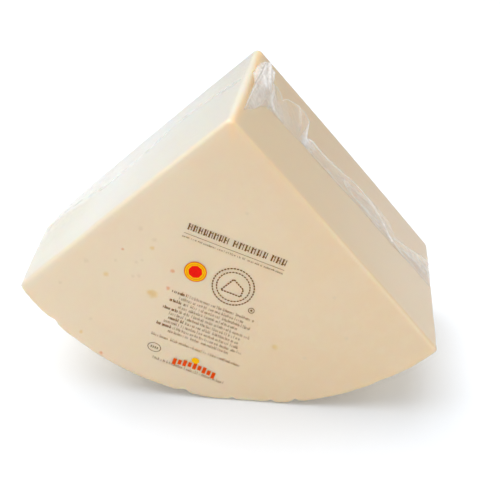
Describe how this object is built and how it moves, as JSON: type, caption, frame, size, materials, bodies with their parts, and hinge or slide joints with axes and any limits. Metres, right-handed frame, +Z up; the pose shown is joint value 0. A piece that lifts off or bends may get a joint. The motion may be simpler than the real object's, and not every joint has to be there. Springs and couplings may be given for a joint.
{
  "type": "pecorino cheese wedge",
  "caption": "Quarter wedge of a halved hard cheese wheel in clear vacuum film, standing on its curved rind with the tip up and a crumpled film seam over it.",
  "frame": {"origin": "middle of the bounding box, at the level of the surface that the rind rests on", "axes": "+X along the long side, towards the end of the longer cut; +Y from the print-side flat face to the other flat face, through the thickness; +Z up to the tip of the wedge"},
  "size_m": [0.2374, 0.121, 0.1759],
  "materials": {
    "cheese": "ivory hard cheese under tight clear film, softly glossy",
    "film": "clear crumpled vacuum film with sparse print"
  },
  "bodies": {
    "root": {"cheese_wedge": "cheese", "film_seam": "film"}
  },
  "joints": []
}
